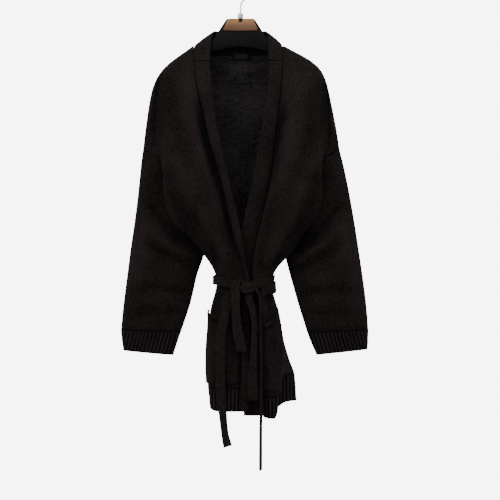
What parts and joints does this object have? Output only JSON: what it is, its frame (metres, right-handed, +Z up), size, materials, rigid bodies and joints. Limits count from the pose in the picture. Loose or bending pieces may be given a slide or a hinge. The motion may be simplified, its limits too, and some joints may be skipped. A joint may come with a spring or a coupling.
{
  "type": "cardigan on a hanger",
  "caption": "Long wrap cardigan of heavy knit with dropped shoulders, patch pockets, ribbed cuffs and hem and a tied belt, hung on a wide wooden hanger.",
  "frame": {"origin": "seat inside the top of the hanger's hook, where it hangs from a rail", "axes": "+Z up, +X towards the wearer's left, front towards -Y"},
  "size_m": [0.594, 0.2026, 1.1668],
  "materials": {
    "knit": "matt black wool-look knit",
    "rib_knit": "matt black ribbed knit",
    "band_knit": "matt black doubled knit",
    "belt_knit": "matt black doubled knit",
    "label": "woven black satin",
    "lacquered_wood": "black satin lacquer",
    "pale_wood": "clear satin lacquer",
    "steel": "brushed"
  },
  "bodies": {
    "root": {"back_panel": "knit", "front_right_panel": "knit", "front_left_panel": "knit", "sleeve_right": "knit", "sleeve_left": "knit", "pocket_right": "knit", "pocket_left": "knit", "cuff_right": "rib_knit", "cuff_left": "rib_knit", "hem_back": "rib_knit", "hem_front_right": "rib_knit", "hem_front_left": "rib_knit", "front_band_right": "band_knit", "front_band_left": "band_knit", "collar_back": "band_knit", "belt_wrap_inner": "belt_knit", "belt_wrap_outer": "belt_knit", "belt_knot": "belt_knit", "belt_loop_right": "belt_knit", "belt_loop_left": "belt_knit", "belt_tail_right": "belt_knit", "belt_tail_left": "belt_knit", "neck_label": "label", "hanger_body": "lacquered_wood", "hanger_face": "pale_wood", "hanger_ferrule": "steel", "hanger_hook": "steel"}
  },
  "joints": []
}
